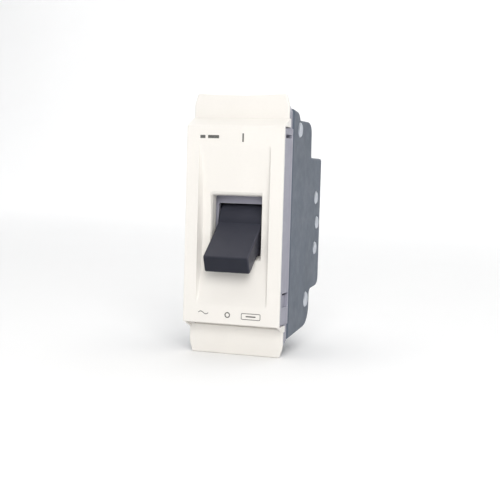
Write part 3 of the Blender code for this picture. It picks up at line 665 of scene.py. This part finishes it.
def build_inner_frame():
    half, top = FRAME_HALF, FRAME_TOP
    front = FRAME_LOW.y - FACE_Y
    body = rectangle((-half, -top), (half, top), 0.4 * MM)
    edges = (0.12 * MM, 0.12 * MM)
    shell = moulding("frame_shell", body, (front, FRAME_BACK), edges, "Y", PAINTS["frame"])
    additions = []
    for side in (1, -1):
        lip = [
            (half - 0.5 * MM, 5.3 * MM, 0),
            (half - 0.05 * MM, 5.3 * MM, 0),
            (FRAME_HIGH.x, 5.6 * MM, 0.15 * MM),
            (FRAME_HIGH.x, FRAME_EAR_BACK, 0.2 * MM),
            (half - 0.5 * MM, FRAME_EAR_BACK, 0),
        ]
        lip = [(side * x, depth, radius) for x, depth, radius in lip]
        ends = (-top + 0.1 * MM, top - 0.1 * MM)
        additions.append(moulding(f"lip_{side}", lip, ends, (0.1 * MM, 0.1 * MM), "Z"))
    ears = (-FRAME_EAR_HALF, FRAME_EAR_HALF)
    additions.append(moulding("ear_top", frame_ear(TOP_WALL_RISE), ears, (0.2 * MM, 0.2 * MM)))
    lower = mirrored(frame_ear(BOTTOM_WALL_RISE))
    additions.append(moulding("ear_bottom", lower, ears, (0.2 * MM, 0.2 * MM)))
    low = (-half + FRAME_WALL, -top + FRAME_WALL + 0.5 * MM)
    inner = rectangle(low, (half - FRAME_WALL, top - FRAME_WALL), 0.6 * MM)
    slot = rectangle((-SLOT_HALF[0], -SLOT_HALF[1]), SLOT_HALF, 0.35 * MM)
    room = SHELF_HALF + GAP
    shelf_top = -FACE_TOP + SHELF_THICKNESS + GAP
    shelf_room = rectangle((-room, -24 * MM), (room, shelf_top), 0.2 * MM)
    cuts = [
        moulding("hollow", inner, (-1 * MM, SHIELD[0]), (0, 0.3 * MM), "Y"),
        moulding("hollow_back", inner, (SHIELD[1], 10 * MM), (0.3 * MM, 0), "Y"),
        moulding("slot", slot, (3 * MM, 10 * MM), (0, 0), "Y"),
        moulding("shelf_room", shelf_room, (-1 * MM, 4.7 * MM), (0, 0), "Y"),
    ]
    for side in (1, -1):
        through = sorted((side * (half - 2 * MM), side * (half + MM)))
        shallow = sorted((side * (half - 0.5 * MM), side * (half + MM)))
        groove = rectangle(*SIDE_GROOVE, 0.15 * MM)
        cuts.append(moulding(f"groove_{side}", groove, through))
        latch = rectangle(*SIDE_LATCH, 0.3 * MM)
        cuts.append(moulding(f"latch_{side}", latch, shallow))
        slit = rectangle(*SIDE_SLIT, 0.1 * MM)
        cuts.append(moulding(f"latch_slit_{side}", slit, through))
        for sign in (1, -1):
            corner = in_mm((10.95, 25.2, 0.5), (12.0, 25.2, 0), (12.0, 27.2, 0), (10.0, 27.2, 0))
            corner = [(side * x, sign * z, radius) for x, z, radius in corner]
            cuts.append(moulding(f"corner_{side}_{sign}", corner, (3 * MM, 9 * MM), (0, 0), "Y"))
    carved(shell, *join(*additions), *cut(*cuts))
    softened(shell, 0.06 * MM)
    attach(shell, "housing")
    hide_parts("inner_frame")


# ---------------------------------------------------------------- case halves


def case_corners():
    return in_mm(
        (7.4, 26.1, 0.25),
        (11.9, 25.6, 2.2),
        (13.0, 23.9, 0.8),
        (22.6, 23.9, 2.6),
        (22.9, 15.7, 0.5),
        (32.0, 15.7, 0.7),
        (32.0, -15.0, 2.4),
        (24.4, -15.6, 1.2),
        (24.4, -23.6, 5.0),
        (7.4, -25.3, 0.25),
    )


def cavity_corners():
    return in_mm(
        (6.0, 20.6, 0.1),
        (8.9, 20.6, 0.1),
        (8.9, 24.6, 0.3),
        (10.6, 24.3, 0.3),
        (12.3, 22.6, 0.3),
        (20.6, 22.6, 0.6),
        (21.5, 21.7, 0.6),
        (21.5, 14.4, 0.3),
        (30.7, 14.4, 0.3),
        (30.7, -12.6, 0.6),
        (29.7, -13.7, 0.6),
        (23.1, -14.2, 0.3),
        (23.1, -19.6, 1.5),
        (20.2, -22.6, 1.5),
        (8.9, -23.8, 0.3),
        (8.9, -20.6, 0.1),
        (6.0, -20.6, 0.1),
    )


def rivet_places():
    """(depth, z, head radius) of each rivet, from the CAD's boxes."""
    places = []
    for number in range(1, 6):
        low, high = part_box(f"case_rivet_{number}")
        places.append(((low.y + high.y) / 2 - FACE_Y, (low.z + high.z) / 2, (high.z - low.z) / 2))
    return places


def way(name, radius, place, ends, axis):
    """A round cutter along the depth or the height."""
    rings = []
    for along in ends:
        ring = []
        for side in range(32):
            angle = 2 * math.pi * side / 32
            a, b = radius * math.cos(angle), radius * math.sin(angle)
            if axis == "Y":
                ring.append((place[0] + a, FACE_Y + along, place[1] + b))
            else:
                ring.append((place[0] + a, FACE_Y + place[1] + b, along))
        rings.append(ring)
    return skin(name, rings)


def seam_rim(seam):
    """The right half's tongue, which closes the seam between the halves."""
    outside = inset_corners(case_corners(), 0.45 * MM)
    inside = inset_corners(case_corners(), 0.9 * MM)
    rim = moulding("seam_rim", outside, (0.02 * MM - seam, 0.9 * MM))
    return carved(rim, *cut(moulding("seam_space", inside, (-MM, 2 * MM))))


def build_case(side, sign):
    outer = CASE_HIGH.x
    seam = CASE_LOW.x
    inner = outer - CASE_WALL
    ends = sorted((sign * seam, sign * outer))
    edges = (0.12 * MM, CASE_EDGE) if sign > 0 else (CASE_EDGE, 0.12 * MM)
    case = moulding(f"{side}_case_shell", case_corners(), ends, edges, "X", PAINTS["case"])
    hollow = sorted((-sign * MM, sign * inner))
    steps = cut(moulding(f"{side}_hollow", cavity_corners(), hollow))
    for number, (depth, z, head) in enumerate(rivet_places(), start=1):
        spread = [(sign * 0.15 * MM, 1.7 * MM), (sign * (inner + 0.4 * MM), 1.7 * MM)]
        steps += join(turned_part(f"{side}_boss_{number}", spread, depth, z, None, 24))
        bore = [(-sign * MM, 1.25 * MM), (sign * (outer + MM), 1.25 * MM)]
        steps += cut(turned_part(f"{side}_bore_{number}", bore, depth, z, None, 24))
        seat = [(sign * (outer - 0.75 * MM), head + 0.1 * MM), (sign * (outer + MM), head + 0.1 * MM)]
        steps += cut(turned_part(f"{side}_seat_{number}", seat, depth, z, None, 40))
    for place, wire_depth, wire_ends, screw_ends in (
        ("upper", 16.25, (21, 27), (20.9, 25)),
        ("lower", 15.25, (-27, -21), (19.9, 27)),
    ):
        low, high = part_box(f"{place}_terminal_screw")
        z = (low.z + high.z) / 2
        ends = [value * MM for value in screw_ends]
        steps += cut(way(f"{side}_{place}_screw", 1.0 * MM, (0, z), ends, "Y"))
        ends = [value * MM for value in wire_ends]
        steps += cut(way(f"{side}_{place}_wire", 1.3 * MM, (0, wire_depth * MM), ends, "Z"))
    if sign > 0:
        steps = join(seam_rim(seam)) + steps
    carved(case, *steps)
    softened(case, 0.1 * MM)
    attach(case, "housing")
    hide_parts(f"{side}_case")


def build_rivets():
    """Semi-tubular rivets: a domed head with a rolled rim, and a shallow dimple in its middle."""
    tip = COVER_HIGH.x
    for number, (depth, z, head) in enumerate(rivet_places(), start=1):
        half = [
            (tip - 0.10 * MM, 0.30 * head),
            (tip - 0.10 * MM, 0.38 * head),
            (tip - 0.02 * MM, 0.47 * head),
            (tip, 0.58 * head),
            (tip - 0.02 * MM, 0.75 * head),
            (tip - 0.08 * MM, 0.88 * head),
            (tip - 0.20 * MM, 0.97 * head),
            (tip - 0.34 * MM, head),
            (tip - 0.50 * MM, 0.99 * head),
            (tip - 0.56 * MM, 0.93 * head),
            (tip - 0.57 * MM, 1.0 * MM),
        ]
        profile = half + [(-x, radius) for x, radius in reversed(half)]
        rivet = turned_part(f"rivet_{number}", profile, depth, z, PAINTS["rivet"])
        softened(rivet)
        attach(rivet, "housing")
        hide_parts(f"case_rivet_{number}")


# ---------------------------------------------------------------- toggle


def build_toggle():
    axis = JOINTS["toggle_hinge"]["pos_m"]
    axis_depth, axis_z = axis[1] - FACE_Y, axis[2]
    cosine, sine = math.cos(TOGGLE_OFF), math.sin(TOGGLE_OFF)

    def at_rest(corners):
        """Corners drawn with the lever straight out, turned to OFF."""
        return [
            (axis_depth + a * cosine - b * sine, axis_z + a * sine + b * cosine, radius)
            for a, b, radius in corners
        ]

    ends = (LEVER_LOW.x, LEVER_HIGH.x)
    edges = (TOGGLE_EDGE, TOGGLE_EDGE)
    handle = in_mm(
        (-3.6, 3.1, 0.3),
        (-7.0, 2.65, 6.0),
        (-15.3, 1.93, 0.5),
        (-16.1, -1.93, 0.5),
        (-11.5, -1.6, 4.0),
        (-5.4, -1.5, 2.0),
        (-3.0, -1.5, 0.3),
    )
    lever = moulding("toggle", at_rest(handle), ends, edges, "X", PAINTS["toggle"])
    start = math.radians(58.7)
    end = math.radians(274.6)
    drum = []
    for step in range(41):
        angle = start + (end - start) * step / 40
        drum.append((DRUM_RADIUS * math.cos(angle), DRUM_RADIUS * math.sin(angle), 0))
    drum += in_mm((0.4, 0.1, 0), (2.6, 0.1, 0))
    hub = disc(2.0 * MM, 32)
    crank = [(0, -1.4 * MM, 0.1 * MM), (CRANK + 1.4 * MM, -1.4 * MM, 1.3 * MM),
             (CRANK + 1.4 * MM, 1.4 * MM, 1.3 * MM), (0, 1.4 * MM, 0.1 * MM)]
    tail = in_mm((-2.6, -6.0, 0), (7.0, -6.0, 0), (7.0, -1.95, 0), (-2.6, -1.95, 0))
    bore = disc(1.0 * MM, 24)
    crank_bore = disc(0.8 * MM, 20, CRANK)
    carved(
        lever,
        *join(
            moulding("drum", at_rest(drum), ends, edges),
            moulding("hub", at_rest(hub), (ends[0] + 0.01 * MM, ends[1] - 0.01 * MM)),
            moulding("crank", at_rest(crank), (-1.2 * MM, 1.2 * MM), (0.1 * MM, 0.1 * MM)),
        ),
        *cut(
            moulding("tail_space", at_rest(tail), (-1.6 * MM, 1.6 * MM)),
            moulding("bore", at_rest(bore), (-7 * MM, 7 * MM)),
            moulding("crank_bore", at_rest(crank_bore), (-3 * MM, 3 * MM)),
        ),
    )
    softened(lever, 0.08 * MM)
    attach(lever, "toggle")
    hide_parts("toggle_lever")


# ---------------------------------------------------------------- printed marks

INK_ENDS = (-0.015 * MM, 0.06 * MM)


def printed(made):
    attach(made, "housing")


def bar(name, low, high):
    """A printed block between two (x, z) corners."""
    corners = rectangle([v * MM for v in low], [v * MM for v in high], 0.06 * MM)
    printed(moulding(name, corners, INK_ENDS, (0, 0), "Y", PAINTS["ink"]))


def ring(name, corners, stroke):
    """A printed closed line along a rounded outline."""
    outer = outline_of(corners)
    inner = outline_of(inset_corners(corners, stroke))
    low, high = INK_ENDS
    loops = []
    for outline, along in ((outer, low), (outer, high), (inner, high), (inner, low)):
        loops.append([placed("Y", point.x, point.y, along) for point in outline])
    printed(skin(name, loops, PAINTS["ink"], capped=False))


def wave(name, low_x, high_x, z, height, stroke):
    """A printed alternating-current sign: one period of a sine, as a strip."""
    steps = 24
    upper = []
    lower = []
    for step in range(steps + 1):
        share = step / steps
        x = (low_x + (high_x - low_x) * share) * MM
        middle = (z + height * math.sin(2 * math.pi * share)) * MM
        upper.append((x, middle + stroke * MM, 0))
        lower.append((x, middle - stroke * MM, 0))
    printed(moulding(name, lower + upper[::-1], INK_ENDS, (0, 0), "Y", PAINTS["ink"]))


def build_marks():
    bar("mark_on", (1.7, 18.35), (2.05, 20.2))
    off = rectangle((-1.35 * MM, -20.35 * MM), (-0.05 * MM, -19.05 * MM), 0.649 * MM)
    ring("mark_off", off, 0.24 * MM)
    bar("mark_rating_short", (-8.1, 19.05), (-6.9, 19.75))
    bar("mark_rating_long", (-6.3, 19.05), (-3.7, 19.75))
    wave("mark_supply", -7.6, -5.2, -19.5, 0.28, 0.09)
    box = rectangle((2.5 * MM, -20.5 * MM), (7.0 * MM, -19.05 * MM), 0.3 * MM)
    ring("mark_box", box, 0.15 * MM)
    bar("mark_box_dash", (3.6, -19.9), (5.9, -19.62))


# ---------------------------------------------------------------- inner parts


def build_plunger_spring():
    """The coil spring over the plunger, which in the breaker shortens as the plunger drops; here it is drawn at
    one length in the CAD spring's box.
    """
    low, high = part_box("plunger_spring")
    centre = (low + high) / 2
    wire = 0.13 * MM
    radius = (high.x - low.x) / 2 - wire
    rise = high.z - low.z - 2 * wire
    upward = Vector((0, 0, 1))
    steps = 96
    rings = []
    for step in range(steps + 1):
        turn = 4 * 2 * math.pi * step / steps
        outward = Vector((math.cos(turn), math.sin(turn), 0))
        middle = Vector((centre.x, centre.y, low.z + wire + rise * step / steps)) + outward * radius
        angles = [2 * math.pi * side / 10 for side in range(10)]
        rings.append([middle + (outward * math.cos(t) + upward * math.sin(t)) * wire for t in angles])
    spring = skin("plunger_coil_spring", rings, PAINTS["steel"])
    spring.data.shade_smooth()
    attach(spring, "housing")
    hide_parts("plunger_spring")
    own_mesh(spring)


def paint_inner_parts():
    """The CAD pieces that keep their shape get the material of their record slot."""
    slots = {part["node"]: part["material_slot"] for part in frame["record"]["subparts"]}
    for name, node in frame["nodes"].items():
        paint = PAINTS["braid"] if name == "braid" else PAINTS[slots[name]]
        if not node.material_slots:
            node.data.materials.append(paint)
        for place in node.material_slots:
            place.material = paint


# ---------------------------------------------------------------- studio


def build_studio():
    """A pale sweep: a floor that curves up into a wall far behind the breaker."""
    floor_z = CAD_BOX[0].z - 0.02 * MM
    section = [(-2.5, 0.0), (0.9, 0.0)]
    for step in range(1, 13):
        angle = math.pi / 2 * step / 12
        section.append((0.9 + 0.8 * math.sin(angle), 0.8 * (1 - math.cos(angle))))
    section.append((1.7, 3.0))
    work = bmesh.new()
    rows = [
        [work.verts.new((x, y, floor_z + z)) for y, z in section]
        for x in (-3.0, 3.0)
    ]
    for index in range(len(section) - 1):
        work.faces.new((rows[0][index], rows[1][index], rows[1][index + 1], rows[0][index + 1]))
    mesh = bpy.data.meshes.new("sweep")
    work.to_mesh(mesh)
    work.free()
    sweep = new_object("sweep", mesh, studio_paper())
    mesh.shade_smooth()


def area_light(name, place, target, size, power, colour=(1, 1, 1)):
    data = bpy.data.lights.new(name, "AREA")
    data.shape = "RECTANGLE"
    data.size, data.size_y = size
    data.energy = power
    data.color = colour
    made = bpy.data.objects.new(name, data)
    bpy.context.scene.collection.objects.link(made)
    made.location = place
    made.rotation_euler = (Vector(target) - Vector(place)).to_track_quat("-Z", "Y").to_euler()
    return made


def build_lights():
    world = bpy.data.worlds.new("studio")
    bpy.context.scene.world = world
    world.use_nodes = True
    background = world.node_tree.nodes["Background"]
    background.inputs["Color"].default_value = (0.97, 0.985, 1.0, 1)
    background.inputs["Strength"].default_value = 0.22
    area_light("overhead", (0, 0.15, 1.6), (0, 0.25, 0), (2.6, 2.6), 22)
    area_light("key", (0.23, -0.54, 0.28), (0, 0, 0), (0.35, 0.35), 2.75, (1.0, 0.985, 0.96))
    area_light("backdrop", (0, 0.9, 1.3), (0, 1.7, 0.6), (2.4, 0.6), 12.0)
    bpy.context.scene.view_settings.view_transform = "Standard"


def build_camera():
    """The photograph's view: from the right of the face, a little above its middle."""
    yaw, pitch, roll = math.radians(18.8), math.radians(-3.98), math.radians(1.61)
    heading = Vector((-math.sin(yaw), math.cos(yaw), 0))
    forward = heading * math.cos(pitch) + Vector((0, 0, math.sin(pitch)))
    level = Vector((math.cos(yaw), math.sin(yaw), 0))
    upward = level.cross(forward)
    right = level * math.cos(roll) + upward * math.sin(roll)
    above = upward * math.cos(roll) - level * math.sin(roll)
    data = bpy.data.cameras.new("camera")
    data.sensor_width = 36
    data.lens = 75.1
    data.clip_start = 0.01
    camera = bpy.data.objects.new("camera", data)
    bpy.context.scene.collection.objects.link(camera)
    turn = Matrix((right, above, -forward)).transposed().to_4x4()
    camera.matrix_world = Matrix.Translation((0.0773, FACE_Y - 0.2148, 0.0107)) @ turn
    bpy.context.scene.camera = camera


paint_inner_parts()
build_cover()
build_inner_frame()
build_case("left", -1)
build_case("right", 1)
build_rivets()
build_toggle()
build_marks()
build_plunger_spring()
build_studio()
build_lights()
build_camera()
